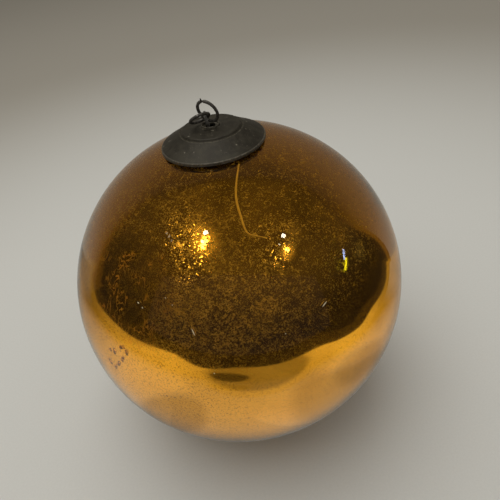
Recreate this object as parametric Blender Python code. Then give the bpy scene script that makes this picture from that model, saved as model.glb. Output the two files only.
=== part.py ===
"""Glass ball ornament: a blown amber ball silvered inside, with a pressed metal cap and wire hanger.

Metres, +Z up along the ball's axis. The origin is the lowest point of the ball.
The cap, with its wire hanger, pulls straight up off the ball's short neck.
"""

import math

import bmesh
import bpy
from mathutils import Euler, Matrix, Vector

# ---- Running clearance kept between touching pieces
FIT_GAP = 0.0003

# ---- Blown glass ball
BALL_RADIUS = 0.0760
BALL_HALF_HEIGHT = 0.0750
GLASS_WALL = 0.0030
NECK_RADIUS = 0.0106
NECK_WALL = 0.0022
NECK_HEIGHT = 0.0047
NECK_FILLET = 0.0024
LIP_ROUND = 0.0008

# ---- Silvering on the inside of the glass
LINING_THICKNESS = 0.0003

# ---- Pressed metal cap
CAP_SHEET = 0.0007
CAP_RADIUS = 0.0212
CAP_STANDOFF = 0.0010
CAP_SKIRT = 0.0008
DOME_PLAY = 0.0009
DOME_CROWN = 0.0003
DOME_RISE = 0.0014
DOME_SHOULDER = 0.0008
STEP_BEAD_RADIUS = 0.00035
RIM_BEAD_RADIUS = 0.00045
BOSS_RADIUS = 0.00348
BOSS_BEAD_WIDTH = 0.00075
BOSS_BEAD_HEIGHT = 0.0008

# ---- Wire hanger: an eye above the cap and two spring legs below it
HANGER_WIRE_RADIUS = 0.0006
HANGER_WIRE_SPLIT = 0.0004
HANGER_OFFSET = -0.0008
EYE_HALF_WIDTH = 0.0030
EYE_HALF_HEIGHT = 0.0024
EYE_RISE = 0.0029
EYE_OPEN_DEG = -27.0
EYE_NECK = 0.00025
EYE_NECK_BEND = 0.00073
EYE_LEAN_DEG = -7.0
LEG_PULL_ANGLE_PER_METRE = math.radians(620.0)
LEG_REACH = 0.0230

# ---- Hanging ring: bent wire whose ends butt together, with one end nipped off as an outward spur
RING_RADIUS = 0.0045
RING_WIRE_RADIUS = 0.00063
RING_SEAT_SIDE = -0.00032
RING_SEAT_HEIGHT = 0.00293
RING_HEADING_DEG = -32.0
RING_SLOPE_DEG = 27.8
RING_TIP_DEG = 16.2
RING_SPUR_DEG = -130.0
RING_GAP_DEG = 21.0
SPUR_LENGTH = 0.0013
SPUR_SWEEP_DEG = 9.0
SPUR_TIP_SHARE = 0.35

# ---- Link ring: the small ring that lies over to the left
LINK_RADIUS = 0.0039
LINK_WIRE_RADIUS = 0.00063
LINK_SEAT_SIDE = 0.00138
LINK_SEAT_HEIGHT = 0.0028
LINK_HEADING_DEG = 150.0
LINK_SLOPE_DEG = 32.0
LINK_TIP_DEG = -66.0

# ---- Facets
ROUND_SEGMENTS = 56
CAP_SEGMENTS = 48
SHELL_STEPS = 14
WIRE_SIDES = 10
RING_STEP_DEG = 10.0

# ---- Derived places
NECK_BORE_RADIUS = NECK_RADIUS - NECK_WALL


def ball_height(radius, wall=0.0):
    """Height of the ball's upper half at a distance from the axis, on the skin or a wall's depth inside it."""
    ratio = radius / (BALL_RADIUS - wall)
    return BALL_HALF_HEIGHT + (BALL_HALF_HEIGHT - wall) * math.sqrt(1.0 - ratio * ratio)


LIP_Z = ball_height(NECK_RADIUS) + NECK_HEIGHT
BORE_FOOT_Z = ball_height(NECK_BORE_RADIUS, GLASS_WALL)
PLATE_UNDER_Z = LIP_Z + FIT_GAP
PLATE_Z = PLATE_UNDER_Z + CAP_SHEET
RIM_BOTTOM_Z = ball_height(CAP_RADIUS) + CAP_STANDOFF
RIM_TOP_Z = RIM_BOTTOM_Z + CAP_SKIRT
DOME_RADIUS = NECK_RADIUS + DOME_PLAY + CAP_SHEET
WIRE_HALF_SPLIT = HANGER_WIRE_RADIUS + HANGER_WIRE_SPLIT / 2.0
WIRE_REACH = math.hypot(HANGER_OFFSET, WIRE_HALF_SPLIT) + HANGER_WIRE_RADIUS
CAP_HOLE_RADIUS = WIRE_REACH + FIT_GAP
EYE_Z = PLATE_Z + EYE_RISE
LEG_PIVOT_Z = PLATE_UNDER_Z - HANGER_WIRE_RADIUS - FIT_GAP


# ---- Materials

def principled(name, color, roughness, metallic=0.0, transmission=0.0):
    """A plain Principled material."""
    material = bpy.data.materials.new(name)
    material.use_nodes = True
    shader = material.node_tree.nodes["Principled BSDF"]
    shader.inputs["Base Color"].default_value = (*color, 1.0)
    shader.inputs["Roughness"].default_value = roughness
    shader.inputs["Metallic"].default_value = metallic
    shader.inputs["Transmission Weight"].default_value = transmission
    material.diffuse_color = (*color, 1.0)
    return material


# ---- Building blocks

def arc(center, radius, start_deg, end_deg, steps):
    """Points of a circular arc in a flat outline, from one angle to the other, both ends included."""
    points = []
    for step in range(steps + 1):
        angle = math.radians(start_deg + (end_deg - start_deg) * step / steps)
        points.append((center[0] + radius * math.cos(angle), center[1] + radius * math.sin(angle)))
    return points


def bezier(start, start_handle, end_handle, end, steps):
    """Points of a cubic Bezier curve in a flat outline, both ends included."""
    points = []
    for step in range(steps + 1):
        share = step / steps
        rest = 1.0 - share
        weights = (rest ** 3, 3.0 * rest * rest * share, 3.0 * rest * share * share, share ** 3)
        corners = (start, start_handle, end_handle, end)
        across = sum(weight * corner[0] for weight, corner in zip(weights, corners))
        up = sum(weight * corner[1] for weight, corner in zip(weights, corners))
        points.append((across, up))
    return points


def finish_mesh(name, bm, material, smooth_deg=40.0):
    """Turn a bmesh into a named, smooth-shaded object with its material."""
    bmesh.ops.remove_doubles(bm, verts=bm.verts, dist=1e-7)
    bmesh.ops.recalc_face_normals(bm, faces=bm.faces)
    mesh = bpy.data.meshes.new(name)
    bm.to_mesh(mesh)
    bm.free()
    mesh.materials.append(material)
    mesh.shade_smooth()
    mesh.set_sharp_from_angle(angle=math.radians(smooth_deg))
    thing = bpy.data.objects.new(name, mesh)
    bpy.context.scene.collection.objects.link(thing)
    return thing


def revolve(name, outline, segments, material, smooth_deg=40.0):
    """Turn a closed outline of (radius, height) points about Z; points on the axis become poles."""
    bm = bmesh.new()
    rows = []
    for radius, height in outline:
        if radius < 1e-7:
            rows.append([bm.verts.new((0.0, 0.0, height))])
            continue
        row = []
        for segment in range(segments):
            angle = 2.0 * math.pi * segment / segments
            row.append(bm.verts.new((radius * math.cos(angle), radius * math.sin(angle), height)))
        rows.append(row)
    for lower, upper in zip(rows, rows[1:] + rows[:1]):
        for segment in range(segments):
            following = (segment + 1) % segments
            if len(lower) == 1 and len(upper) == 1:
                continue
            if len(lower) == 1:
                bm.faces.new((lower[0], upper[following], upper[segment]))
            elif len(upper) == 1:
                bm.faces.new((lower[segment], lower[following], upper[0]))
            else:
                bm.faces.new((lower[segment], lower[following], upper[following], upper[segment]))
    return finish_mesh(name, bm, material, smooth_deg)


def wire(name, path, radii, side, material, closed=False):
    """Sweep a round section along 3-D points that share a plane with the normal `side`.

    An open wire's ends are domed by shrinking rings; `radii` gives the wire's radius at each point.
    """
    bm = bmesh.new()
    rows = []
    count = len(path)
    for index, point in enumerate(path):
        before = path[(index - 1) % count] if closed or index > 0 else point
        after = path[(index + 1) % count] if closed or index < count - 1 else point
        tangent = (after - before).normalized()
        across = tangent.cross(side).normalized()
        row = []
        for corner in range(WIRE_SIDES):
            angle = 2.0 * math.pi * corner / WIRE_SIDES
            offset = across * math.cos(angle) + side * math.sin(angle)
            row.append(bm.verts.new(point + offset * radii[index]))
        rows.append(row)
    pairs = list(zip(rows, rows[1:] + rows[:1])) if closed else list(zip(rows, rows[1:]))
    for lower, upper in pairs:
        for corner in range(WIRE_SIDES):
            following = (corner + 1) % WIRE_SIDES
            bm.faces.new((lower[corner], lower[following], upper[following], upper[corner]))
    if not closed:
        bm.faces.new(rows[0])
        bm.faces.new(rows[-1])
    return finish_mesh(name, bm, material, 60.0)


def dome_ends(path, radius, start=True, end=True):
    """Add points past each chosen end of a path, with the shrinking radii that round the wire off."""
    steps = (0.55, 0.85, 0.98)
    points = list(path)
    radii = [radius] * len(points)
    if start:
        away = (points[0] - points[1]).normalized()
        foot = points[0]
        for share in steps:
            points.insert(0, foot + away * radius * share)
            radii.insert(0, radius * math.sqrt(1.0 - share * share))
    if end:
        away = (points[-1] - points[-2]).normalized()
        foot = points[-1]
        for share in steps:
            points.append(foot + away * radius * share)
            radii.append(radius * math.sqrt(1.0 - share * share))
    return points, radii


# ---- Glass ball and its silvering

def half_ellipse(wall, start_radius, steps, upper_to_lower):
    """Points of the ball's side, a wall's depth inside its skin, between a radius near the top and the bottom."""
    radius = BALL_RADIUS - wall
    height = BALL_HALF_HEIGHT - wall
    top_angle = math.acos(start_radius / radius)
    upper_steps = round(steps * top_angle / (top_angle + math.pi / 2.0))
    angles = [top_angle * (1.0 - step / upper_steps) for step in range(upper_steps)]
    lower_steps = steps - upper_steps
    angles += [-math.pi / 2.0 * step / lower_steps for step in range(lower_steps + 1)]
    points = []
    for angle in angles:
        points.append((max(radius * math.cos(angle), 0.0), BALL_HALF_HEIGHT + height * math.sin(angle)))
    return points if upper_to_lower else points[::-1]


def make_glass_ball(material):
    """Blown shell: an almost round ball, a filleted shoulder and a short neck with a rounded lip."""
    fillet_radius = NECK_RADIUS + NECK_FILLET
    shoulder_z = ball_height(fillet_radius)
    outer = half_ellipse(0.0, fillet_radius, SHELL_STEPS + 6, upper_to_lower=False)
    fillet = arc((fillet_radius, shoulder_z + NECK_FILLET), NECK_FILLET, 262.0, 180.0, 4)
    middle = NECK_RADIUS - NECK_WALL / 2.0
    lip_half = NECK_WALL / 2.0 - LIP_ROUND
    lip_z = LIP_Z - LIP_ROUND
    lip = arc((middle + lip_half, lip_z), LIP_ROUND, 0.0, 90.0, 3)
    lip += arc((middle - lip_half, lip_z), LIP_ROUND, 90.0, 180.0, 3)
    inner = half_ellipse(GLASS_WALL, NECK_BORE_RADIUS, SHELL_STEPS, upper_to_lower=True)
    return revolve("glass_ball", outer + fillet + lip + inner, ROUND_SEGMENTS, material)


def make_silver_lining(material):
    """Mirror coat: a thin skin that lines the glass and stops at the neck."""
    outer_depth = GLASS_WALL + FIT_GAP
    inner_depth = outer_depth + LINING_THICKNESS
    outer = half_ellipse(outer_depth, NECK_BORE_RADIUS, SHELL_STEPS, upper_to_lower=False)
    inner = half_ellipse(inner_depth, NECK_BORE_RADIUS, SHELL_STEPS, upper_to_lower=True)
    return revolve("silver_lining", outer + inner, ROUND_SEGMENTS, material)


# ---- Cap

def cap_skin():
    """Upper side of the cap's section, from the wire hole out to the rim."""
    bead_inner = BOSS_RADIUS - BOSS_BEAD_WIDTH / 2.0
    shoulder_center = (DOME_RADIUS - DOME_SHOULDER, PLATE_Z - DOME_CROWN - DOME_SHOULDER)
    step_z = shoulder_center[1] - DOME_RISE + DOME_SHOULDER
    step_center = (DOME_RADIUS + STEP_BEAD_RADIUS * 2.6, step_z)
    rim_center = (CAP_RADIUS - RIM_BEAD_RADIUS, RIM_TOP_Z)
    points = [(CAP_HOLE_RADIUS, PLATE_Z)]
    for step in range(7):
        angle = math.pi * step / 6.0
        reach = BOSS_BEAD_WIDTH * (1.0 - math.cos(angle)) / 2.0
        points.append((bead_inner + reach, PLATE_Z + BOSS_BEAD_HEIGHT * math.sin(angle)))
    points.append((DOME_RADIUS * 0.62, PLATE_Z - DOME_CROWN * 0.3))
    points += arc(shoulder_center, DOME_SHOULDER, 84.0, 12.0, 4)
    points += arc(step_center, STEP_BEAD_RADIUS, 172.0, 62.0, 4)
    points += arc(rim_center, RIM_BEAD_RADIUS, 112.0, 0.0, 5)
    points.append((CAP_RADIUS, RIM_BOTTOM_Z))
    return points


def cap_underside():
    """Lower side of the cap's section, from the rim back in to the wire hole, one sheet below the skin."""
    step_z = PLATE_Z - DOME_CROWN - DOME_RISE
    wall_radius = DOME_RADIUS - CAP_SHEET
    return [
        (CAP_RADIUS - CAP_SHEET, RIM_BOTTOM_Z),
        (CAP_RADIUS - CAP_SHEET, RIM_TOP_Z - CAP_SHEET / 2.0),
        (DOME_RADIUS + STEP_BEAD_RADIUS, step_z - CAP_SHEET),
        (wall_radius, step_z - CAP_SHEET / 2.0),
        (wall_radius, PLATE_UNDER_Z - DOME_CROWN / 2.0 - FIT_GAP),
        (wall_radius - DOME_PLAY, PLATE_UNDER_Z),
        (CAP_HOLE_RADIUS, PLATE_UNDER_Z),
    ]


def make_cap(material):
    """Pressed cap: flared flange with a beaded rim, a low stepped dome and a raised bead round the wire hole."""
    return revolve("cap", cap_skin() + cap_underside(), CAP_SEGMENTS, material, 32.0)


# ---- Wire hanger

def eye_place(side, height):
    """A point of the hanger's flat wire shape, placed across (Y) and up, with the eye's lean to the left."""
    above = max(height - PLATE_Z, 0.0)
    return Vector((HANGER_OFFSET + math.tan(math.radians(EYE_LEAN_DEG)) * above, side, height))


def make_staple_eye(material):
    """Omega-shaped wire: two strands come up through the cap's hole and close in a round eye."""
    foot_z = LEG_PIVOT_Z + HANGER_WIRE_RADIUS + FIT_GAP
    loop = []
    for flat_across, flat_up in arc((0.0, 0.0), 1.0, EYE_OPEN_DEG, 90.0, 9):
        loop.append((EYE_HALF_WIDTH * flat_across, EYE_Z + EYE_HALF_HEIGHT * flat_up))
    neck_end = (WIRE_HALF_SPLIT, PLATE_Z + EYE_NECK)
    opening = math.radians(EYE_OPEN_DEG)
    slant = Vector((-EYE_HALF_WIDTH * math.sin(opening), EYE_HALF_HEIGHT * math.cos(opening))).normalized()
    before_loop = (loop[0][0] - EYE_NECK_BEND * slant.x, loop[0][1] - EYE_NECK_BEND * slant.y)
    half = [(WIRE_HALF_SPLIT, foot_z)]
    half += bezier(neck_end, (neck_end[0], neck_end[1] + EYE_NECK_BEND), before_loop, loop[0], 4)
    half += loop[1:]
    outline = half + [(-across, height) for across, height in half[-2::-1]]
    path = [eye_place(across, height) for across, height in outline]
    lean = math.radians(EYE_LEAN_DEG)
    normal = Vector((math.cos(lean), 0.0, -math.sin(lean)))
    return wire("staple_eye", path, [HANGER_WIRE_RADIUS] * len(path), normal, material)


def leg_path():
    """One spring leg, drawn from its pivot at the origin: across and down.

    The leg is a cam. As the cap lifts, the leg turns in by a constant share of the lift, and this curve keeps
    it just clear of the foot of the neck's bore all the way out.
    """
    depth_at_rest = LEG_PIVOT_Z - BORE_FOOT_Z
    bore_reach = NECK_BORE_RADIUS - HANGER_WIRE_RADIUS - FIT_GAP
    room = math.sqrt(bore_reach ** 2 - HANGER_OFFSET ** 2) - WIRE_HALF_SPLIT
    points = [Vector((0.0, 0.0, 0.0))]
    first_angle = math.atan2(room, depth_at_rest)
    reach = math.hypot(room, depth_at_rest)
    for share in (0.35, 0.7):
        points.append(Vector((0.0, math.sin(first_angle), -math.cos(first_angle))) * reach * share)
    steps = 9
    for step in range(steps + 1):
        lift = LEG_REACH * step / steps
        depth = depth_at_rest + lift
        angle = math.atan2(room, depth) + LEG_PULL_ANGLE_PER_METRE * lift
        reach = math.hypot(room, depth)
        points.append(Vector((0.0, math.sin(angle), -math.cos(angle))) * reach)
    return points


def make_spring_leg(name, direction, material):
    """One splayed leg of the hanger wire, with its origin where the wire flexes under the cap."""
    path = [Vector((0.0, point.y * direction, point.z)) for point in leg_path()]
    points, radii = dome_ends(path, HANGER_WIRE_RADIUS)
    leg = wire(name, points, radii, Vector((1.0, 0.0, 0.0)), material)
    leg.location = (HANGER_OFFSET, WIRE_HALF_SPLIT * direction, LEG_PIVOT_Z)
    return leg


# ---- Rings

def place_ring(ring, seat, heading_deg, slope_deg, tip_deg):
    """Turn a ring about its seat in the eye; its own X axis is the line it swings about."""
    turn = Euler([math.radians(angle) for angle in (tip_deg, slope_deg, heading_deg)], "XYZ")
    ring.matrix_world = Matrix.Translation(seat) @ turn.to_matrix().to_4x4()
    return ring


def ring_point(angle_deg, outward=0.0):
    """A point of the hanging ring in its own frame: its seat in the eye is at the origin, at 0 degrees."""
    angle = math.radians(angle_deg)
    radius = RING_RADIUS + outward
    return Vector((radius * math.sin(angle), 0.0, RING_RADIUS - radius * math.cos(angle)))


def make_hanging_ring(material):
    """Wire ring: one end turns outward as a tapered spur, and the other end stops against it."""
    tail_end_deg = RING_SPUR_DEG + 360.0 - RING_GAP_DEG
    steps = round((tail_end_deg - RING_SPUR_DEG) / RING_STEP_DEG)
    spur = []
    spur_radii = []
    for share in (1.0, 0.75, 0.5, 0.25):
        sweep_deg = RING_SPUR_DEG - SPUR_SWEEP_DEG * math.sqrt(share)
        spur.append(ring_point(sweep_deg, SPUR_LENGTH * share * share))
        spur_radii.append(RING_WIRE_RADIUS * (1.0 - (1.0 - SPUR_TIP_SHARE) * share))
    body = [ring_point(RING_SPUR_DEG + (tail_end_deg - RING_SPUR_DEG) * step / steps) for step in range(steps + 1)]
    body, body_radii = dome_ends(body, RING_WIRE_RADIUS, start=False)
    return wire("hanging_ring", spur + body, spur_radii + body_radii, Vector((0.0, 1.0, 0.0)), material)


def make_link_ring(material):
    """Closed small ring, with its seat in the eye at the origin."""
    steps = round(360.0 / RING_STEP_DEG)
    path = []
    for step in range(steps):
        angle = 2.0 * math.pi * step / steps
        path.append(Vector((LINK_RADIUS * math.sin(angle), 0.0, LINK_RADIUS - LINK_RADIUS * math.cos(angle))))
    return wire("link_ring", path, [LINK_WIRE_RADIUS] * steps, Vector((0.0, 1.0, 0.0)), material, closed=True)


def build():
    """Make every piece in its place."""
    for thing in list(bpy.data.objects):
        bpy.data.objects.remove(thing, do_unlink=True)
    amber = principled("amber_glass", (0.55, 0.27, 0.05), 0.03, transmission=0.9)
    silver = principled("silvering", (0.80, 0.62, 0.30), 0.12, metallic=1.0)
    pewter = principled("cap_metal", (0.10, 0.09, 0.075), 0.45, metallic=0.85)
    steel = principled("hanger_wire", (0.16, 0.15, 0.14), 0.40, metallic=0.9)
    iron = principled("ring_wire", (0.09, 0.075, 0.065), 0.50, metallic=0.85)
    make_glass_ball(amber)
    make_silver_lining(silver)
    make_cap(pewter)
    make_staple_eye(steel)
    make_spring_leg("spring_leg_front", -1.0, steel)
    make_spring_leg("spring_leg_back", 1.0, steel)
    ring = make_hanging_ring(iron)
    ring_seat = eye_place(RING_SEAT_SIDE, PLATE_Z + RING_SEAT_HEIGHT)
    place_ring(ring, ring_seat, RING_HEADING_DEG, RING_SLOPE_DEG, RING_TIP_DEG)
    link = make_link_ring(iron)
    link_seat = eye_place(LINK_SEAT_SIDE, PLATE_Z + LINK_SEAT_HEIGHT)
    place_ring(link, link_seat, LINK_HEADING_DEG, LINK_SLOPE_DEG, LINK_TIP_DEG)


build()
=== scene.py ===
import math

import bmesh
import bpy
from mathutils import Matrix, Vector


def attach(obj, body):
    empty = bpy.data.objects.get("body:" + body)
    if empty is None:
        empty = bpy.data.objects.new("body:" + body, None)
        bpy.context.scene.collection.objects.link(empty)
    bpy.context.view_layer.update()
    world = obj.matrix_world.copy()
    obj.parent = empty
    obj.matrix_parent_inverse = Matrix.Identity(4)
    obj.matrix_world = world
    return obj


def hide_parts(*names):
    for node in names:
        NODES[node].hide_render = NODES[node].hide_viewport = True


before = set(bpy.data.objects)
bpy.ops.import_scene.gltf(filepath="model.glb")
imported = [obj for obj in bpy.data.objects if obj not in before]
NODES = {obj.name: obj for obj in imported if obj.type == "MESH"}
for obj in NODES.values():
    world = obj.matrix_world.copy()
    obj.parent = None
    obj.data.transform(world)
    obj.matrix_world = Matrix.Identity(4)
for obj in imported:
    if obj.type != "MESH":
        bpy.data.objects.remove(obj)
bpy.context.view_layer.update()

# ---------------------------------------------------------------- sizes shared with the CAD, in metres
BALL_R = 0.0760
BALL_H = 0.0750
WALL = 0.0030
NECK_R = 0.0106
NECK_WALL = 0.0022
NECK_H = 0.0047
NECK_FILLET = 0.0024
LIP_ROUND = 0.0008
CAP_SHEET = 0.0007
CAP_R = 0.0212
DOME_PLAY = 0.0009
DOME_R = NECK_R + DOME_PLAY + CAP_SHEET
BOSS_R = 0.00348
CENTRE = Vector((0.0, 0.0, BALL_H))

# ---------------------------------------------------------------- the silver and the marks, in metres
MIRROR_DEPTH = 0.0012
MIRROR_SHEET = 0.0001
COLLAR_SHARE = 0.6
MARK_DEPTH = MIRROR_DEPTH - 0.0001
GLINT_SPECK_DEPTH = 0.00006
SEED_DEPTH = 0.00080
SEED_R = 0.00032
THREAD_THIN = 0.00018
THREAD_SWELL = 0.00024
GLINT_SPECK_THIN = 0.00005
GLINT_SPECK_SWELL = 0.00014
SCAR_THIN = 0.00040
SCAR_SWELL = 0.00060
SCAR_SWAY = 0.00045

# a low band drawn round the glass, which bends what the silver shows, and fades out to the sides
RIDGE_Z = 0.115
RIDGE_WIDTH = 0.021
RIDGE_REACH = 0.070
RIDGE_RISE = 0.00134

# spots of the silver that have aged in their own way
DENSE_SPOT = (-0.004, -0.062, 0.116)
SMUDGE_SPOT = (-0.033, -0.058, 0.107)
HAIR_SPOT = (-0.018, -0.032, 0.141)
CURL_SPOT = (-0.042, -0.044, 0.117)

BALL_SEGMENTS = 224
BALL_ROWS = 96
STRAND_SIDES = 8
GLINT_SPECK_SIDES = 6
SEED_SIDES = 16
SEED_ROWS = 10
CURVE_STEPS = 6

# ---------------------------------------------------------------- camera, lights and the room
LENS_MM = 36.0
CAMERA_PLACE = (0.0, -0.18827, 0.234078)
CAMERA_RIGHT = Vector((0.981, -0.1394, -0.1348))
CAMERA_BACK = Vector((-0.0295, -0.7944, 0.6067))

FLOOR_HALF = 4.0
KEY_PLACE = Vector((-0.20, 0.05, 1.35))
KEY_AIM = Vector((0.0, 0.0, 0.05))

# the room that the ball reflects, turned with the photograph
ROOM_UP = Vector((0.140, 0.029, 0.990)).normalized()
ROOM_RIGHT = Vector((0.981, -0.139, -0.135))
ROOM_RIGHT = (ROOM_RIGHT - ROOM_UP * ROOM_RIGHT.dot(ROOM_UP)).normalized()
ROOM_AWAY = ROOM_UP.cross(ROOM_RIGHT)
WASH_PLACE = CENTRE - ROOM_AWAY * 0.75 + ROOM_UP * 0.80 - ROOM_RIGHT * 0.10

# its cards, in ball radii from the ball's centre
TABLE_UP = -1.0
WALL_AWAY = 2.15
BACK_AWAY = -7.0
STRIP_ACROSS = 11.0
STRIP_HALF = 0.12

# its lamps and their halos, in metres from the ball's centre
LAMP_DISTANCE = 1.3
HALO_DISTANCE = 1.9


# ---------------------------------------------------------------- camera, at the photograph's viewing angle
def make_camera():
    data = bpy.data.cameras.new("view")
    data.lens = LENS_MM
    data.sensor_width = 36.0
    data.clip_start = 0.01
    data.clip_end = 20.0
    cam = bpy.data.objects.new("view", data)
    bpy.context.scene.collection.objects.link(cam)
    right = CAMERA_RIGHT.normalized()
    back = (CAMERA_BACK - right * CAMERA_BACK.dot(right)).normalized()
    up = back.cross(right)
    rows = Matrix((right, up, back)).transposed()
    cam.matrix_world = Matrix.Translation(CAMERA_PLACE) @ rows.to_4x4()
    bpy.context.scene.camera = cam


# ---------------------------------------------------------------- node helpers
class Nodes:
    """Short calls for building the node tree of a new material, or of the world."""

    def __init__(self, name, world=None):
        self.owner = world or bpy.data.materials.new(name)
        self.owner.use_nodes = True
        self.tree = self.owner.node_tree
        self.tree.nodes.clear()
        self.output = self.add("ShaderNodeOutputWorld" if world else "ShaderNodeOutputMaterial")
        self.object_co = None

    def add(self, kind, **settings):
        node = self.tree.nodes.new(kind)
        for key, value in settings.items():
            setattr(node, key, value)
        return node

    def put(self, socket, value):
        """Link a socket to another node's output, or set it to a number or a colour."""
        if isinstance(value, bpy.types.NodeSocket):
            self.tree.links.new(value, socket)
        elif hasattr(socket.default_value, "__len__") and not hasattr(value, "__len__"):
            socket.default_value = [value] * len(socket.default_value)
        elif hasattr(value, "__len__") and len(socket.default_value) == 4 and len(value) == 3:
            socket.default_value = (*value, 1.0)
        else:
            socket.default_value = value

    def co(self):
        if self.object_co is None:
            self.object_co = self.add("ShaderNodeTexCoord").outputs["Object"]
        return self.object_co

    def scaled(self, scale, shift=(0.0, 0.0, 0.0), turn=(0.0, 0.0, 0.0)):
        node = self.add("ShaderNodeMapping")
        self.put(node.inputs["Vector"], self.co())
        node.inputs["Location"].default_value = shift
        node.inputs["Rotation"].default_value = turn
        node.inputs["Scale"].default_value = scale if hasattr(scale, "__len__") else (scale,) * 3
        return node.outputs["Vector"]

    def noise(self, scale, detail=2.0, rough=0.5, warp=0.0, vector=None, shift=(0.0, 0.0, 0.0)):
        node = self.add("ShaderNodeTexNoise")
        self.put(node.inputs["Vector"], vector if vector is not None else self.scaled(1.0, shift))
        node.inputs["Scale"].default_value = scale
        node.inputs["Detail"].default_value = detail
        node.inputs["Roughness"].default_value = rough
        node.inputs["Distortion"].default_value = warp
        return node.outputs["Fac"]

    def cells(self, scale, vector=None):
        node = self.add("ShaderNodeTexVoronoi")
        self.put(node.inputs["Vector"], vector if vector is not None else self.co())
        node.inputs["Scale"].default_value = scale
        return node

    def ramp(self, value, low, high, smooth=True, out=(0.0, 1.0)):
        node = self.add("ShaderNodeMapRange", interpolation_type="SMOOTHSTEP" if smooth else "LINEAR")
        self.put(node.inputs["Value"], value)
        node.inputs["From Min"].default_value = low
        node.inputs["From Max"].default_value = high
        node.inputs["To Min"].default_value = out[0]
        node.inputs["To Max"].default_value = out[1]
        return node.outputs["Result"]

    def math(self, kind, one, two=0.0):
        node = self.add("ShaderNodeMath", operation=kind)
        self.put(node.inputs[0], one)
        self.put(node.inputs[1], two)
        return node.outputs["Value"]

    def plus(self, total, *others):
        for other in others:
            total = self.math("ADD", total, other)
        return total

    def times(self, product, *others):
        for other in others:
            product = self.math("MULTIPLY", product, other)
        return product

    def minus(self, one, two):
        return self.math("SUBTRACT", one, two)

    def most(self, one, two):
        return self.math("MAXIMUM", one, two)

    def mix(self, share, one, two, kind="MIX"):
        node = self.add("ShaderNodeMix", data_type="RGBA", blend_type=kind)
        self.put(node.inputs["Factor"], share)
        self.put(node.inputs[6], one)
        self.put(node.inputs[7], two)
        return node.outputs[2]

    def xyz(self, vector=None):
        node = self.add("ShaderNodeSeparateXYZ")
        self.put(node.inputs[0], vector if vector is not None else self.co())
        return node.outputs["X"], node.outputs["Y"], node.outputs["Z"]

    def distance(self, point):
        node = self.add("ShaderNodeVectorMath", operation="DISTANCE")
        self.put(node.inputs[0], self.co())
        node.inputs[1].default_value = point
        return node.outputs["Value"]

    def near(self, point, inner, outer, value=1.0):
        """A value round a point, which fades out from the inner to the outer distance."""
        return self.ramp(self.distance(point), inner, outer, out=(value, 0.0))

    def axis_distance(self):
        x, y, _ = self.xyz()
        return self.math("POWER", self.plus(self.times(x, x), self.times(y, y)), 0.5)

    def along(self, vector, axis):
        """How far a vector reaches along an axis."""
        node = self.add("ShaderNodeVectorMath", operation="DOT_PRODUCT")
        self.put(node.inputs[0], vector)
        node.inputs[1].default_value = axis
        return node.outputs["Value"]

    def lines(self, noise, thin, wide):
        """Curling lines, where a noise passes its middle value."""
        away = self.math("ABSOLUTE", self.minus(noise, 0.5))
        return self.ramp(away, thin, wide, out=(1.0, 0.0))

    def bump(self, height, strength, depth=0.0005, normal=None):
        node = self.add("ShaderNodeBump")
        self.put(node.inputs["Height"], height)
        node.inputs["Strength"].default_value = strength
        node.inputs["Distance"].default_value = depth
        if normal is not None:
            self.put(node.inputs["Normal"], normal)
        return node.outputs["Normal"]

    def grains(self, scale):
        """Small cells: a random number for each, and a random way to lean."""
        color = self.cells(scale).outputs["Color"]
        lean = self.add("ShaderNodeVectorMath", operation="SUBTRACT")
        self.put(lean.inputs[0], color)
        lean.inputs[1].default_value = (0.5, 0.5, 0.5)
        return self.xyz(color)[0], lean.outputs[0]

    def leaned(self, lean, share, normal):
        """The normal with each grain leaning its own way."""
        sized = self.add("ShaderNodeVectorMath", operation="SCALE")
        self.put(sized.inputs[0], lean)
        self.put(sized.inputs["Scale"], share)
        added = self.add("ShaderNodeVectorMath", operation="ADD")
        self.put(added.inputs[0], normal)
        self.put(added.inputs[1], sized.outputs[0])
        unit = self.add("ShaderNodeVectorMath", operation="NORMALIZE")
        self.put(unit.inputs[0], added.outputs[0])
        return unit.outputs[0]

    def principled(self, **values):
        node = self.add("ShaderNodeBsdfPrincipled")
        for key, value in values.items():
            self.put(node.inputs[key.replace("_", " ")], value)
        return node

    def mix_shader(self, share, one, two):
        node = self.add("ShaderNodeMixShader")
        self.put(node.inputs[0], share)
        self.put(node.inputs[1], one.outputs[0])
        self.put(node.inputs[2], two.outputs[0])
        return node

    def finish(self, shader):
        self.tree.links.new(shader.outputs[0], self.output.inputs["Surface"])
        return self.owner


# ---------------------------------------------------------------- materials
def amber_glass():
    """Clear amber glass that lets the light through to the silvering without casting a shadow on it."""
    n = Nodes("blown_amber_glass")
    wave = n.noise(26.0, 1.0)
    ripple = n.noise(140.0, 2.0)
    height = n.plus(wave, n.times(ripple, 0.06))
    glass = n.principled(
        Base_Color=(1.0, 0.50, 0.045), Roughness=0.012, IOR=1.5, Transmission_Weight=1.0,
        Normal=n.bump(height, 0.12, 0.0006))
    clear = n.add("ShaderNodeBsdfTransparent")
    n.put(clear.inputs["Color"], (1.0, 0.70, 0.2))
    path = n.add("ShaderNodeLightPath")
    return n.finish(n.mix_shader(path.outputs["Is Shadow Ray"], glass, clear))


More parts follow.
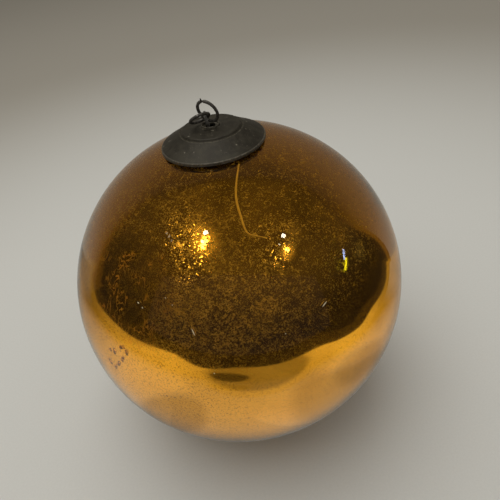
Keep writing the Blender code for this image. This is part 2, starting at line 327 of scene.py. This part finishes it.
def fleck_veil(n, x, z, foxed):
    """Where the silver is veiled, with the share of it that is tan curling runs."""
    cloudy = n.ramp(n.noise(42.0, 3.0, 0.6), 0.36, 0.64)
    clumps = n.ramp(n.noise(260.0, 2.0, 0.6, shift=(0.6, 0.3, 0.9)), 0.36, 0.64)
    swirl = n.ramp(n.noise(520.0, 2.0, 0.6, 0.6), 0.36, 0.66)
    dense = n.near(DENSE_SPOT, 0.010, 0.042, 0.24)
    smudge = n.near(SMUDGE_SPOT, 0.006, 0.022, 0.22)
    crowd = n.plus(n.times(clumps, 0.20), n.times(cloudy, 0.16), dense, smudge, n.times(swirl, 0.34))
    chance, lean = n.grains(2700.0)
    flecks = n.ramp(n.plus(chance, crowd), 0.90, 1.55, smooth=False)
    flecks = n.times(flecks, n.ramp(z, 0.088, 0.122, out=(0.50, 1.0)))

    hairs = n.lines(n.noise(330.0, 2.0, 0.6, 0.8), 0.0, 0.03)
    hairs = n.times(hairs, n.near(HAIR_SPOT, 0.004, 0.014))
    stretched = n.scaled((340.0, 340.0, 66.0), shift=(0.3, 0.7, 0.2))
    curls = n.lines(n.noise(1.0, 2.0, 0.55, 0.9, vector=stretched), 0.006, 0.044)
    broken = n.ramp(n.noise(110.0, 2.0, 0.5, shift=(0.2, 0.9, 0.6)), 0.40, 0.58)
    side = n.near(CURL_SPOT, 0.012, 0.028)
    runs = n.times(curls, broken, side)

    calm = n.minus(1.0, n.times(side, 0.62))
    veil = n.most(n.times(flecks, calm, 0.85), hairs)
    veil = n.times(n.most(veil, runs), foxed)
    return veil, runs, lean, cloudy


def soiling(n, x, foxed):
    """Fine dust and small pits in the clean silver of the lower part."""
    grain = n.noise(1300.0, 2.0, 0.8, 0.3)
    dust = n.times(n.ramp(grain, 0.54, 0.62), n.ramp(x, -0.030, 0.010, out=(0.58, 0.24)))
    pits = n.ramp(n.cells(150.0).outputs["Distance"], 0.05, 0.09, out=(1.0, 0.0))
    pits = n.times(pits, n.ramp(n.noise(70.0, 1.0, shift=(0.9, 0.9, 0.2)), 0.56, 0.60))
    return n.times(n.minus(1.0, foxed), n.most(dust, pits))


def drawn_band(n, x, z):
    """The low band drawn round the glass, as a normal."""
    off = n.math("DIVIDE", n.minus(z, RIDGE_Z), RIDGE_WIDTH)
    ridge = n.math("EXPONENT", n.times(off, off, -1.0))
    aside = n.math("DIVIDE", x, RIDGE_REACH)
    aside = n.most(n.minus(1.0, n.times(aside, aside)), 0.0)
    aside = n.times(aside, aside)
    return n.bump(n.times(ridge, aside, RIDGE_RISE), 1.0, 1.0)


def silvering():
    """Aged mirror coat: bright below, foxed with glittering flecks and curling runs above."""
    n = Nodes("aged_silvering")
    x, _, z = n.xyz()
    edge = n.plus(z, n.times(n.noise(45.0, 2.0, shift=(0.4, 0.8, 0.1)), 0.010))
    edge = n.minus(edge, n.times(x, x, 5.5))
    foxed = n.ramp(edge, 0.090, 0.104)
    veil, runs, lean, cloudy = fleck_veil(n, x, z, foxed)
    tint = n.mix(cloudy, (0.93, 0.88, 0.76), (0.90, 0.83, 0.66))
    tint = n.mix(n.times(soiling(n, x, foxed), 0.85), tint, (0.16, 0.10, 0.05))
    tint = n.mix(runs, tint, (0.86, 0.60, 0.42))
    rough = n.plus(n.times(veil, 0.13), 0.045)
    rolling = n.bump(n.noise(30.0, 1.0), 0.20, 0.0008, drawn_band(n, x, z))
    leaning = n.times(veil, n.ramp(z, 0.108, 0.124, out=(0.0, 0.34)))
    return n.finish(n.principled(
        Base_Color=tint, Metallic=n.minus(1.0, n.times(veil, 0.62)), Roughness=rough,
        Normal=n.leaned(lean, leaning, rolling)))


def dark_metal(name, low, high, bright, rough, bands=(), rust=None):
    """Old dark metal: mottled patina, a painted highlight along its beads that is partly wear, with fine
    scratches and specks.
    """
    n = Nodes(name)
    mottle = n.noise(420.0, 4.0, 0.6)
    broad = n.noise(90.0, 2.0)
    color = n.mix(n.ramp(n.plus(n.times(mottle, 0.6), n.times(broad, 0.4)), 0.38, 0.62), low, high)
    if rust is not None:
        patches = n.ramp(n.noise(650.0, 3.0, 0.6, shift=(0.2, 0.4, 0.1)), 0.56, 0.70)
        color = n.mix(n.times(patches, 0.8), color, rust)
    wear_and_highlight = n.ramp(n.noise(900.0, 3.0, 0.7, shift=(0.5, 0.5, 0.3)), 0.45, 0.62)
    wear_and_highlight_share = 0.3
    # where bands are given, the metal is painted bright round those radii: painted highlights along the
    # beads, partly wear
    if bands:
        bead_wear_and_highlight = 0.0
        reach = n.axis_distance()
        for radius, width in bands:
            away = n.math("ABSOLUTE", n.minus(reach, radius))
            bead_wear_and_highlight = n.most(n.ramp(away, 0.0, width, out=(1.0, 0.0)), bead_wear_and_highlight)
        wear_and_highlight = n.times(bead_wear_and_highlight, n.plus(n.times(wear_and_highlight, 0.6), 0.4))
        wear_and_highlight_share = 0.55
    specks = n.ramp(n.noise(520.0, 1.0, 0.4, shift=(0.9, 0.1, 0.7)), 0.72, 0.76)
    wear_and_highlight = n.most(n.times(wear_and_highlight, wear_and_highlight_share), n.times(specks, 0.7))
    color = n.mix(wear_and_highlight, color, bright)
    scratch = n.noise(1.0, 2.0, 0.6, vector=n.scaled((2600.0, 180.0, 2600.0), turn=(0.0, 0.0, 0.6)))
    color = n.mix(n.times(n.ramp(scratch, 0.66, 0.72), 0.25), color, bright)
    roughness = n.minus(n.plus(n.times(mottle, 0.2), rough), n.times(wear_and_highlight, 0.12))
    relief = n.plus(mottle, n.times(broad, 1.2))
    return n.finish(n.principled(
        Base_Color=color, Metallic=0.4, Roughness=roughness, Normal=n.bump(relief, 0.22, 0.0004)))


def grained(name, scale, low, high, edges=None, **finish):
    """Two tones mixed by a fine noise."""
    n = Nodes(name)
    grain = n.noise(scale, 2.0)
    if edges:
        grain = n.ramp(grain, *edges)
    return n.finish(n.principled(Base_Color=n.mix(grain, low, high), **finish))


def floor_material():
    """Matt pale floor with a painted pool of light, which falls off to a duller tone behind and around the
    object.
    """
    n = Nodes("pale_floor")
    # painted pool of light: the floor's colour darkens with distance from the object's axis
    share = n.ramp(n.axis_distance(), 0.16, 0.75)
    grain = n.ramp(n.noise(900.0, 3.0), 0.3, 0.7, out=(0.985, 1.015))
    color = n.mix(share, (0.66, 0.665, 0.64), (0.36, 0.338, 0.295))
    color = n.mix(1.0, color, grain, "MULTIPLY")
    return n.finish(n.principled(Base_Color=color, Roughness=0.85, Specular_IOR_Level=0.15))


def glow(name, color, strength=1.0, shade=None):
    n = Nodes(name)
    shine = n.add("ShaderNodeEmission")
    n.put(shine.inputs["Color"], color if shade is None else n.mix(1.0, color, shade(n), "MULTIPLY"))
    n.put(shine.inputs["Strength"], strength)
    return n.finish(shine)


def halo_glow(name, strength):
    """Soft glow round a lamp that fades out to its edge."""
    n = Nodes(name)
    facing = n.add("ShaderNodeLayerWeight")
    facing.inputs["Blend"].default_value = 0.5
    core = n.math("POWER", n.minus(1.0, facing.outputs["Facing"]), 8.0)
    clear = n.add("ShaderNodeBsdfTransparent")
    shine = n.add("ShaderNodeEmission")
    n.put(shine.inputs["Color"], (1.0, 0.86, 0.50))
    n.put(shine.inputs["Strength"], n.times(core, strength))
    both = n.add("ShaderNodeAddShader")
    n.put(both.inputs[0], clear.outputs[0])
    n.put(both.inputs[1], shine.outputs[0])
    return n.finish(both)


# ---------------------------------------------------------------- mesh helpers
def add_mesh(name, bm, material, smooth=40.0):
    bmesh.ops.remove_doubles(bm, verts=bm.verts, dist=1e-8)
    bmesh.ops.recalc_face_normals(bm, faces=bm.faces)
    mesh = bpy.data.meshes.new(name)
    bm.to_mesh(mesh)
    bm.free()
    mesh.materials.append(material)
    mesh.shade_smooth()
    mesh.set_sharp_from_angle(angle=math.radians(smooth))
    thing = bpy.data.objects.new(name, mesh)
    bpy.context.scene.collection.objects.link(thing)
    return thing


def lathe(name, outline, segments, material):
    """A closed outline of (radius, height) points turned round the Z axis."""
    bm = bmesh.new()
    rows = []
    for radius, height in outline:
        if radius < 1e-7:
            rows.append([bm.verts.new((0.0, 0.0, height))])
            continue
        turn = [2.0 * math.pi * k / segments for k in range(segments)]
        rows.append([bm.verts.new((radius * math.cos(a), radius * math.sin(a), height)) for a in turn])
    for low, high in zip(rows, rows[1:] + rows[:1]):
        if len(low) == 1 and len(high) == 1:
            continue
        for k in range(segments):
            m = (k + 1) % segments
            if len(low) == 1:
                bm.faces.new((low[0], high[m], high[k]))
            elif len(high) == 1:
                bm.faces.new((low[k], low[m], high[0]))
            else:
                bm.faces.new((low[k], low[m], high[m], high[k]))
    return add_mesh(name, bm, material)


def arc(cx, cz, radius, start, end, steps):
    out = []
    for k in range(steps + 1):
        a = math.radians(start + (end - start) * k / steps)
        out.append((cx + radius * math.cos(a), cz + radius * math.sin(a)))
    return out


def curve(knots):
    """A smooth line through the knots, which stops one step short of the last."""
    points = []
    for a, b, c, d in zip(knots[:1] + knots[:-2], knots[:-1], knots[1:], knots[2:] + knots[-1:]):
        for k in range(CURVE_STEPS):
            t = k / CURVE_STEPS
            points.append(0.5 * (2.0 * b + (c - a) * t + (2.0 * a - 5.0 * b + 4.0 * c - d) * t * t
                                 + (3.0 * b - a - 3.0 * c + d) * t * t * t))
    return points


def tube(name, path, radii, sides, material):
    """A round strand through points, with a radius for each."""
    bm = bmesh.new()
    rows = []
    for k, point in enumerate(path):
        way = (path[min(k + 1, len(path) - 1)] - path[max(k - 1, 0)]).normalized()
        side = way.cross(Vector((0.0, 0.0, 1.0))).normalized()
        other = way.cross(side)
        turn = [2.0 * math.pi * m / sides for m in range(sides)]
        spokes = [(side * math.cos(a) + other * math.sin(a)) * radii[k] for a in turn]
        rows.append([bm.verts.new(point + spoke) for spoke in spokes])
    for low, high in zip(rows, rows[1:]):
        for k in range(sides):
            m = (k + 1) % sides
            bm.faces.new((low[k], low[m], high[m], high[k]))
    bm.faces.new(rows[0])
    bm.faces.new(rows[-1])
    return add_mesh(name, bm, material, 70.0)


# ---------------------------------------------------------------- ball
def ball_top(radius):
    """Height of the ball's upper side at a radius from its axis."""
    return BALL_H * (1.0 + math.sqrt(1.0 - (radius / BALL_R) ** 2))


def ball_side(depth, top_radius):
    """The ball's side at a depth inside its skin, from the lowest point up to a radius near the top."""
    radius = BALL_R - depth
    height = BALL_H - depth
    last = math.acos(top_radius / radius)
    out = []
    for k in range(BALL_ROWS + 1):
        a = -math.pi / 2.0 + (last + math.pi / 2.0) * k / BALL_ROWS
        out.append((max(radius * math.cos(a), 0.0), BALL_H + height * math.sin(a)))
    return out


def make_ball():
    bore = NECK_R - NECK_WALL
    shoulder_r = NECK_R + NECK_FILLET
    lip_z = ball_top(NECK_R) + NECK_H - LIP_ROUND
    outline = ball_side(0.0, shoulder_r)
    outline += arc(shoulder_r, ball_top(shoulder_r) + NECK_FILLET, NECK_FILLET, 262.0, 180.0, 8)
    outline += arc(NECK_R - LIP_ROUND, lip_z, LIP_ROUND, 0.0, 90.0, 5)
    outline += arc(bore + LIP_ROUND, lip_z, LIP_ROUND, 90.0, 180.0, 5)
    outline += ball_side(WALL, bore)[::-1]
    glass = lathe("blown_glass", outline, BALL_SEGMENTS, amber_glass())
    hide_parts("glass_ball")
    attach(glass, "ball")

    collar = NECK_R - NECK_WALL * COLLAR_SHARE
    sheet = ball_side(MIRROR_DEPTH, collar) + [(collar, lip_z), (collar - MIRROR_SHEET, lip_z)]
    sheet += ball_side(MIRROR_DEPTH + MIRROR_SHEET, collar - MIRROR_SHEET)[::-1]
    mirror = lathe("mirror_coat", sheet, BALL_SEGMENTS, silvering())
    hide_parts("silver_lining")
    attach(mirror, "ball")
    return [glass, mirror]


def in_glass(point, depth):
    """A point pulled on to the ball's shape, at a depth inside its skin."""
    way = (point - CENTRE).normalized()
    flat = (1.0 - way.z * way.z) / BALL_R ** 2
    return CENTRE + way * ((flat + way.z * way.z / BALL_H ** 2) ** -0.5 - depth)


def curve_in_glass(knots, depth):
    return [in_glass(point, depth) for point in curve([Vector(knot) for knot in knots])]


def make_thread():
    """A fine thread drawn in the glass, which turns aside and ends in a seed bubble."""
    material = grained(
        "drawn_thread", 700.0, (0.70, 0.62, 0.42), (1.0, 0.95, 0.80), Metallic=0.1, Roughness=0.35)
    path = curve_in_glass((
        (0.0076, -0.0200, 0.1460), (0.0052, -0.0290, 0.1440), (0.0040, -0.0350, 0.1412),
        (0.0042, -0.0402, 0.1379), (0.0053, -0.0462, 0.1336), (0.0088, -0.0476, 0.1320),
        (0.0121, -0.0483, 0.1308)), MARK_DEPTH)
    last = len(path) - 1.0
    radii = [THREAD_THIN + THREAD_SWELL * math.sin(math.pi * min(k / last + 0.12, 1.0))
             for k in range(len(path))]
    thread = tube("drawn_thread", path, radii, STRAND_SIDES, material)
    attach(thread, "ball")

    seed = lathe("seed_bubble", arc(0.0, 0.0, SEED_R, -90.0, 90.0, SEED_ROWS), SEED_SIDES, material)
    seed.data.transform(Matrix.Translation(in_glass(Vector((0.0128, -0.0485, 0.1305)), SEED_DEPTH)))
    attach(seed, "ball")


def make_specks_with_painted_glints():
    """Small pale specks in the skin, thicker in the middle; their pale colour is a painted glint."""
    # pale colour: painted glints on the specks
    pale = grained("pale_specks_painted_glints", 1500.0, (0.62, 0.58, 0.40), (0.92, 0.88, 0.66), Roughness=0.3)
    for name, start, end in (
            ("glint_a", (-0.0376, -0.0507, 0.1157), (-0.0370, -0.0513, 0.1152)),
            ("glint_b", (-0.0363, -0.0526, 0.1146), (-0.0359, -0.0530, 0.1142)),
            ("glint_c", (-0.0270, -0.0548, 0.1187), (-0.0267, -0.0550, 0.1185)),
            ("glint_d", (-0.0250, -0.0571, 0.1169), (-0.0247, -0.0573, 0.1167)),
            ("glint_e", (-0.0198, -0.0634, 0.1101), (-0.0191, -0.0649, 0.1076)),
            ("glint_f", (0.0263, -0.0626, 0.1072), (0.0284, -0.0611, 0.1082)),
            ("glint_g", (0.0115, -0.0683, 0.1040), (0.0117, -0.0685, 0.1036)),
            ("glint_h", (-0.0155, -0.0709, 0.0942), (-0.0152, -0.0711, 0.0938))):
        middle = (Vector(start) + Vector(end)) / 2.0
        path = curve_in_glass((start, middle, end), GLINT_SPECK_DEPTH)
        last = len(path) - 1.0
        radii = [GLINT_SPECK_THIN + GLINT_SPECK_SWELL * math.sin(math.pi * k / last) for k in range(len(path))]
        glint = tube(name, path, radii, GLINT_SPECK_SIDES, pale)
        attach(glint, "ball")


def make_scar():
    """Flakes along a hook where the silver has gone and the brown inside of the glass shows."""
    material = grained(
        "bare_scar", 900.0, (0.30, 0.20, 0.12), (1.0, 0.80, 0.52), edges=(0.40, 0.60), Roughness=0.5)
    scars = []
    for name, start, end in (
            ("scar_a", (-0.0570, -0.0470, 0.0868), (-0.0560, -0.0492, 0.0842)),
            ("scar_b", (-0.0552, -0.0500, 0.0842), (-0.0538, -0.0510, 0.0862)),
            ("scar_c", (-0.0530, -0.0516, 0.0872), (-0.0516, -0.0524, 0.0892)),
            ("scar_d", (-0.0506, -0.0530, 0.0904), (-0.0490, -0.0537, 0.0930)),
            ("scar_e", (-0.0478, -0.0545, 0.0950), (-0.0466, -0.0546, 0.0968)),
            ("scar_f", (-0.0480, -0.0532, 0.0974), (-0.0500, -0.0516, 0.0960)),
            ("scar_g", (-0.0524, -0.0496, 0.0938), (-0.0530, -0.0503, 0.0914)),
            ("scar_h", (-0.0545, -0.0480, 0.0925), (-0.0548, -0.0484, 0.0918))):
        path = curve_in_glass((start, end), MARK_DEPTH)
        last = len(path) - 1.0
        radii = []
        for k, point in enumerate(path):
            sway = Vector((math.sin(2.1 * k), math.cos(1.7 * k), math.sin(2.9 * k + 1.0))) * SCAR_SWAY
            path[k] = in_glass(point + sway, MARK_DEPTH)
            ends = math.sin(math.pi * (0.08 + 0.84 * k / last))
            radii.append(SCAR_THIN + SCAR_SWELL * abs(math.sin(1.7 * k)) * ends)
        scar = tube(name, path, radii, STRAND_SIDES, material)
        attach(scar, "ball")
        scars.append(scar)
    return scars


# ---------------------------------------------------------------- cap, hanger and rings
def dress(name, material):
    NODES[name].data.materials.clear()
    NODES[name].data.materials.append(material)


def make_metals():
    """Metals for the CAD's own cap, hanger wire and rings."""
    # the cap's bright bands at its rim, the dome's bead and the boss are painted highlights, partly wear
    patina = dark_metal(
        "patinated_cap", (0.027, 0.022, 0.013), (0.048, 0.041, 0.026), (0.27, 0.24, 0.18), 0.46,
        bands=((CAP_R - 0.0002, 0.0005), (DOME_R + 0.0005, 0.0004), (BOSS_R - 0.0004, 0.0016)))
    steel = dark_metal(
        "hanger_steel", (0.10, 0.095, 0.085), (0.17, 0.16, 0.145), (0.40, 0.38, 0.35), 0.38)
    iron = dark_metal(
        "ring_iron", (0.040, 0.036, 0.030), (0.075, 0.068, 0.058), (0.22, 0.20, 0.18), 0.42,
        rust=(0.075, 0.042, 0.026))
    dress("cap", patina)
    for name in ("staple_eye", "spring_leg_front", "spring_leg_back"):
        dress(name, steel)
    for name in ("hanging_ring", "link_ring"):
        dress(name, iron)


# ---------------------------------------------------------------- what the ball reflects
def in_room(across, away, up):
    return CENTRE + (ROOM_RIGHT * across + ROOM_AWAY * away + ROOM_UP * up) * BALL_R


def room_way(azimuth, elevation):
    """A direction in the room: degrees round from its right, and degrees up."""
    a = math.radians(azimuth)
    e = math.radians(elevation)
    return (ROOM_RIGHT * math.cos(a) + ROOM_AWAY * math.sin(a)) * math.cos(e) + ROOM_UP * math.sin(e)


def seen_by(thing, side):
    """Shown only in the glass's outer skin, or only in the silver, whose rays come through the glass."""
    thing.visible_camera = False
    thing.visible_diffuse = False
    thing.visible_shadow = False
    thing.visible_glossy = side == "skin"
    thing.visible_transmission = side == "mirror"


def card(name, corners, material, side):
    """A flat sheet that only reflections see."""
    bm = bmesh.new()
    bm.faces.new([bm.verts.new(in_room(*corner)) for corner in corners])
    seen_by(add_mesh(name, bm, material), side)


def room_co(n):
    """A card's own place in the room: across, away and up."""
    return [n.minus(n.along(n.co(), axis / BALL_R), axis.dot(CENTRE) / BALL_R)
            for axis in (ROOM_RIGHT, ROOM_AWAY, ROOM_UP)]


def squared(n, value, middle, size):
    return n.math("POWER", n.math("DIVIDE", n.minus(value, middle), size), 2.0)


def cloth_shade(n):
    """White cloth: bright in front and to the left, dull behind, at the ball's foot and in its folds."""
    across, away, _ = room_co(n)
    shade = n.times(
        n.ramp(n.distance(in_room(0.0, 0.1, TABLE_UP)), 0.045, 0.095, out=(0.36, 1.0)),
        n.ramp(away, -1.4, 1.0, out=(0.80, 0.42)),
        n.ramp(across, -3.2, -2.3, out=(0.60, 1.0)),
        n.ramp(across, 1.2, 2.3, out=(1.0, 1.34)),
        n.ramp(across, -1.6, -0.5, out=(1.28, 1.0)),
        n.ramp(n.noise(9.0, 2.0, 0.5, 0.8), 0.32, 0.68, out=(0.92, 1.05)))
    facets = n.cells(1.0, n.scaled((9.0, 13.0, 9.0), turn=(0.0, 0.0, 0.5))).outputs["Color"]
    shade = n.times(shade, n.ramp(facets, 0.0, 1.0, smooth=False, out=(0.90, 1.04)))
    for middle, size, inside, edge in (
            ((1.15, -0.75), (0.60, 1.05), 0.74, 0.45), ((1.75, -0.70), (0.50, 0.60), 0.78, 0.50),
            ((0.60, -2.55), (1.35, 0.55), 0.50, 0.25), ((-0.20, -2.50), (0.44, 0.17), 0.20, 0.40),
            ((-0.68, -1.05), (0.34, 0.60), 0.72, 0.45), ((-2.6, 0.5), (0.9, 1.0), 0.85, 0.6)):
        off = n.plus(squared(n, across, middle[0], size[0]), squared(n, away, middle[1], size[1]))
        shade = n.times(shade, n.ramp(off, 1.0 - edge, 1.0 + edge, out=(inside, 1.0)))
    return shade


def skin_cloth_shade(n):
    """The cloth as the outer skin shows it, fading out towards its edge."""
    across, away, _ = room_co(n)
    off = n.plus(squared(n, across, 0.0, 3.5), squared(n, away, 0.0, 3.0))
    edge = n.most(n.ramp(off, 0.45, 1.05, out=(1.0, 0.0)), n.ramp(away, 0.0, 1.2))
    return n.times(cloth_shade(n), edge)


def wall_shade(n):
    """Pale wall, dimmer with height and to the left."""
    across, _, rise = room_co(n)
    return n.times(
        n.ramp(rise, -2.6, 6.0, out=(1.40, 0.30)),
        n.ramp(across, -9.0, -6.0, out=(0.34, 0.86)),
        n.ramp(across, -6.0, 0.0, out=(0.90, 1.0)))


def skin_wall_shade(n):
    """The wall as the outer skin shows it: bright low down, dim at both sides."""
    across, _, rise = room_co(n)
    return n.times(
        n.ramp(rise, -1.2, 1.5, out=(2.1, 1.0)),
        n.ramp(rise, 0.0, 5.0, out=(1.0, 0.40)),
        n.ramp(n.math("ABSOLUTE", across), 4.0, 9.5, out=(1.0, 0.15)))


def make_floor():
    bm = bmesh.new()
    for x, y in ((-1.0, -1.0), (1.0, -1.0), (1.0, 1.0), (-1.0, 1.0)):
        bm.verts.new((x * FLOOR_HALF, y * FLOOR_HALF, 0.0))
    bm.faces.new(bm.verts)
    floor = add_mesh("floor", bm, floor_material())
    floor.visible_glossy = False
    floor.visible_transmission = False


def make_cards():
    """The cloth, the wall and the room behind the camera, once for the silver and once for the skin."""
    cloth = curve([Vector((across, away, TABLE_UP)) for across, away in (
        (-3.65, 0.2), (-3.55, -0.7), (-3.0, -2.0), (-2.2, -2.85), (-0.95, -2.7), (0.1, -3.0), (1.5, -2.8),
        (2.65, -2.5), (3.0, -1.9), (3.4, -1.0), (4.05, -0.3), (4.2, 0.75), (5.2, WALL_AWAY))])
    cloth += [(5.2, WALL_AWAY, TABLE_UP), (-7.0, WALL_AWAY, TABLE_UP), (-4.5, 1.35, TABLE_UP)]
    white = (0.78, 0.74, 0.64)
    card("reflected_table", cloth, glow("table_glow", white, shade=cloth_shade), "mirror")
    card("skin_table", cloth, glow("skin_table_glow", white, shade=skin_cloth_shade), "skin")
    wall = curve([Vector((across, WALL_AWAY, rise)) for across, rise in (
        (5.5, -2.8), (4.7, -0.6), (7.2, 2.2), (8.4, 4.8), (7.2, 5.8), (4.6, 5.8), (0.0, 8.4), (-4.2, 7.6),
        (-5.5, 5.0), (-7.0, 3.4), (-8.0, 0.8), (-10.2, -1.2), (-10.8, -2.5))])
    wall.append((-14.0, WALL_AWAY, -2.8))
    card("reflected_wall", wall, glow("wall_glow", (0.170, 0.138, 0.104), shade=wall_shade), "mirror")
    back = [(across, BACK_AWAY, rise) for across, rise in (
        (-10.0, -1.0), (10.0, -1.0), (10.0, 6.0), (-10.0, 6.0))]
    card("skin_room", back, glow("skin_room_glow", (0.05, 0.055, 0.075)), "skin")
    card("skin_wall", wall, glow("skin_wall_glow", (0.22, 0.20, 0.165), shade=skin_wall_shade), "skin")


def make_globe(name, azimuth, elevation, distance, radius, rounds, material, side):
    """A round lamp or halo, at a distance in metres from the ball's centre."""
    bm = bmesh.new()
    bmesh.ops.create_icosphere(bm, subdivisions=rounds, radius=radius)
    bmesh.ops.translate(bm, verts=bm.verts, vec=CENTRE + room_way(azimuth, elevation) * distance)
    seen_by(add_mesh(name, bm, material), side)


def make_lamps():
    """Two lamps, a faint one and a thin one, and the soft glow round the two."""
    for name, azimuth, elevation, radius, power, side in (
            ("lamp_left", -134.9, 61.1, 0.038, 24.0, "skin"),
            ("lamp_left_low", -131.8, 55.9, 0.026, 20.0, "skin"),
            ("lamp_right", -37.1, 55.9, 0.036, 24.0, "skin"),
            ("lamp_right_small", -46.6, 52.9, 0.010, 16.0, "skin"),
            ("lamp_faint", -165.5, 44.4, 0.016, 3.2, "skin"),
            ("lamp_faint_mid", -161.5, 44.6, 0.022, 3.0, "skin"),
            ("lamp_faint_low", -157.0, 44.4, 0.016, 2.6, "skin"),
            ("lamp_left_in", -138.5, 60.5, 0.044, 24.0, "mirror"),
            ("lamp_left_low_in", -135.9, 57.2, 0.040, 22.0, "mirror"),
            ("lamp_right_in", -37.9, 51.5, 0.036, 24.0, "mirror"),
            ("lamp_faint_in", -157.0, 47.4, 0.030, 1.6, "mirror"),
            ("lamp_faint_low_in", -153.5, 47.9, 0.026, 1.2, "mirror")):
        shine = glow(name + "_glow", (1.0, 0.93, 0.80), power)
        make_globe(name, azimuth, elevation, LAMP_DISTANCE, radius, 2, shine, side)
    for name, azimuth, elevation, radius, power in (
            ("halo_left", -137.5, 59.0, 0.46, 0.50), ("halo_right", -38.0, 50.5, 0.28, 0.38)):
        shine = halo_glow(name + "_glow", power)
        make_globe(name, azimuth, elevation, HALO_DISTANCE, radius, 4, shine, "mirror")
    for name, start, end, color, side in (
            ("strip", (-1.03, 4.83), (-1.93, 4.01), (1.5, 1.8, 3.0), "skin"),
            ("strip_in", (-0.60, 3.23), (-1.67, 2.37), (0.36, 0.60, 0.10), "mirror")):
        corners = [(STRIP_ACROSS, away + shift, rise - shift) for (away, rise), shift in (
            (start, STRIP_HALF), (end, STRIP_HALF), (end, -STRIP_HALF), (start, -STRIP_HALF))]
        card("lamp_" + name, corners, glow(name + "_glow", color, 4.5), side)


# ---------------------------------------------------------------- the light
def area_light(name, shape, size, power, color, place, aim):
    data = bpy.data.lights.new(name, "AREA")
    data.shape = shape
    data.size = size
    data.energy = power
    data.color = color
    light = bpy.data.objects.new(name, data)
    light.location = place
    light.rotation_euler = (aim - place).to_track_quat("-Z", "Y").to_euler()
    bpy.context.scene.collection.objects.link(light)
    return light


def link_light(light, name, things):
    chosen = bpy.data.collections.new(name)
    light.light_linking.receiver_collection = chosen
    for thing in things:
        chosen.objects.link(thing)
    return chosen


def make_lights(ball_parts, scars):
    """A broad key that spares the ball, and a weak wash on the ball alone."""
    key = area_light("key", "RECTANGLE", 1.6, 10.0, (1.0, 0.985, 0.95), KEY_PLACE, KEY_AIM)
    key.data.size_y = 1.2
    for entry in link_light(key, "key_spares", ball_parts).collection_objects:
        entry.light_linking.link_state = "EXCLUDE"
    wash = area_light("wash", "DISK", 0.5, 2.4, (1.0, 0.95, 0.80), WASH_PLACE, CENTRE)
    wash.visible_camera = False
    wash.visible_glossy = False
    wash.visible_transmission = False
    link_light(wash, "wash_lights", ball_parts + scars)


def make_world():
    """Even pale surroundings for the camera and for soft light; a dim amber room for reflections."""
    world = bpy.data.worlds.new("room")
    bpy.context.scene.world = world
    n = Nodes("room", world)
    world.cycles.sampling_method = "NONE"
    pale = n.add("ShaderNodeBackground")
    n.put(pale.inputs["Color"], (0.38, 0.36, 0.325))
    way = n.add("ShaderNodeTexCoord").outputs["Generated"]
    height = n.along(way, ROOM_UP)
    lift = n.ramp(height, -0.05, 0.85, smooth=False, out=(0.026, 0.078))
    clouds = n.ramp(n.noise(2.2, 3.0, vector=way), 0.3, 0.7, smooth=False, out=(0.55, 1.15))
    room = n.add("ShaderNodeBackground")
    n.put(room.inputs["Color"], n.mix(height, (0.92, 0.86, 0.80), (1.0, 0.84, 0.36)))
    n.put(room.inputs["Strength"], n.times(lift, clouds))
    path = n.add("ShaderNodeLightPath")
    plain = n.most(path.outputs["Is Camera Ray"], path.outputs["Is Diffuse Ray"])
    n.finish(n.mix_shader(plain, room, pale))
    bpy.context.scene.view_settings.view_transform = "Standard"


make_camera()
ball_parts = make_ball()
make_thread()
make_specks_with_painted_glints()
scars = make_scar()
make_metals()
make_floor()
make_cards()
make_lamps()
make_lights(ball_parts, scars)
make_world()
